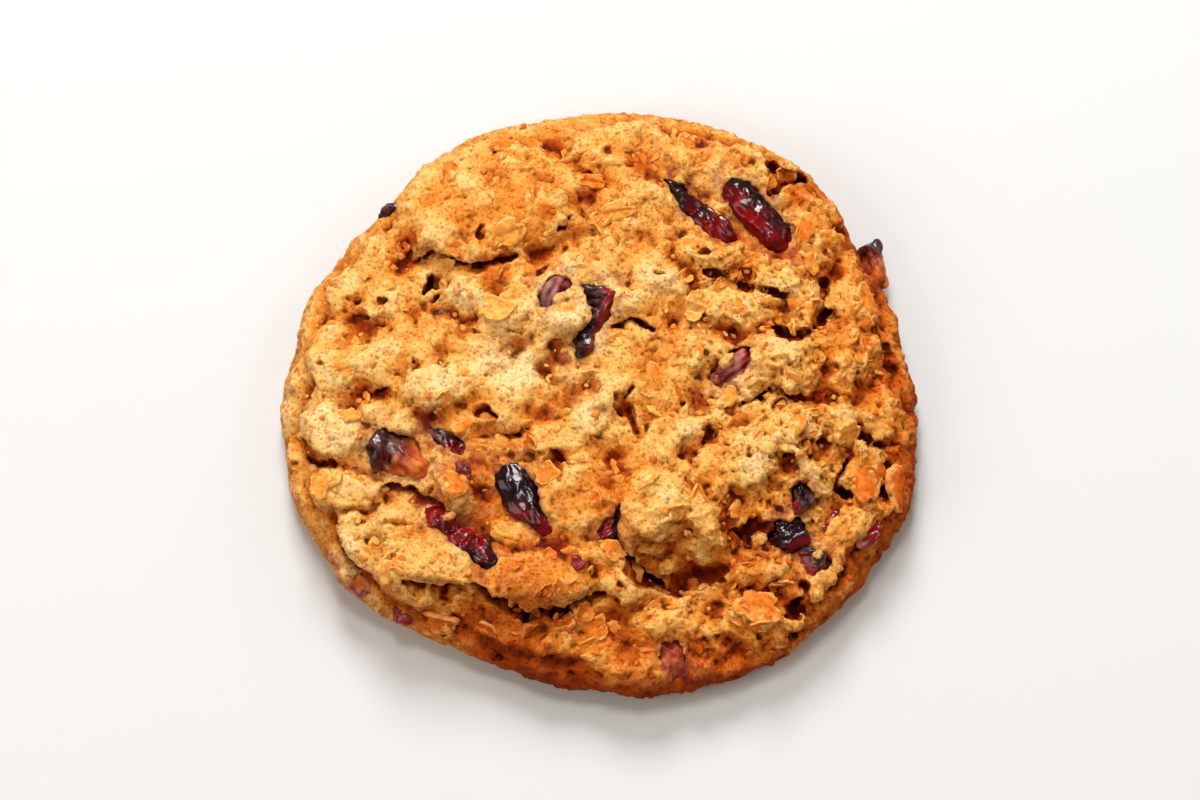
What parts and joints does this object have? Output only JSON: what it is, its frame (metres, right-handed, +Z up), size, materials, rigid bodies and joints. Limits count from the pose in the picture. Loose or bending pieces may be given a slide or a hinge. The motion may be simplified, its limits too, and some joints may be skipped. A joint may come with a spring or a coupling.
{
  "type": "oatmeal cookie with dried cranberries",
  "caption": "Thick round oatmeal cookie with a lumpy cracked top, rolled oats and pieces of dark red dried fruit.",
  "frame": {"origin": "middle of the flat underside, at the tray it was baked on", "axes": "+Z up through the crown, +X and +Y across the cookie; the picture looks down on it with +X to the right and +Y away"},
  "size_m": [0.0799, 0.0746, 0.0144],
  "materials": {
    "crust": "golden-brown baked dough with oats, matt, darker brown round the rim",
    "fruit_skin": "dark ruby wrinkled skin, sticky satin gloss"
  },
  "bodies": {
    "root": {"dough": "crust", "cranberry_01": "fruit_skin", "cranberry_02": "fruit_skin", "cranberry_03": "fruit_skin", "cranberry_04": "fruit_skin", "cranberry_05": "fruit_skin", "cranberry_06": "fruit_skin", "cranberry_07": "fruit_skin", "cranberry_08": "fruit_skin", "cranberry_09": "fruit_skin", "cranberry_10": "fruit_skin", "cranberry_11": "fruit_skin", "cranberry_12": "fruit_skin", "cranberry_13": "fruit_skin", "cranberry_14": "fruit_skin", "cranberry_15": "fruit_skin", "cranberry_16": "fruit_skin"}
  },
  "joints": []
}
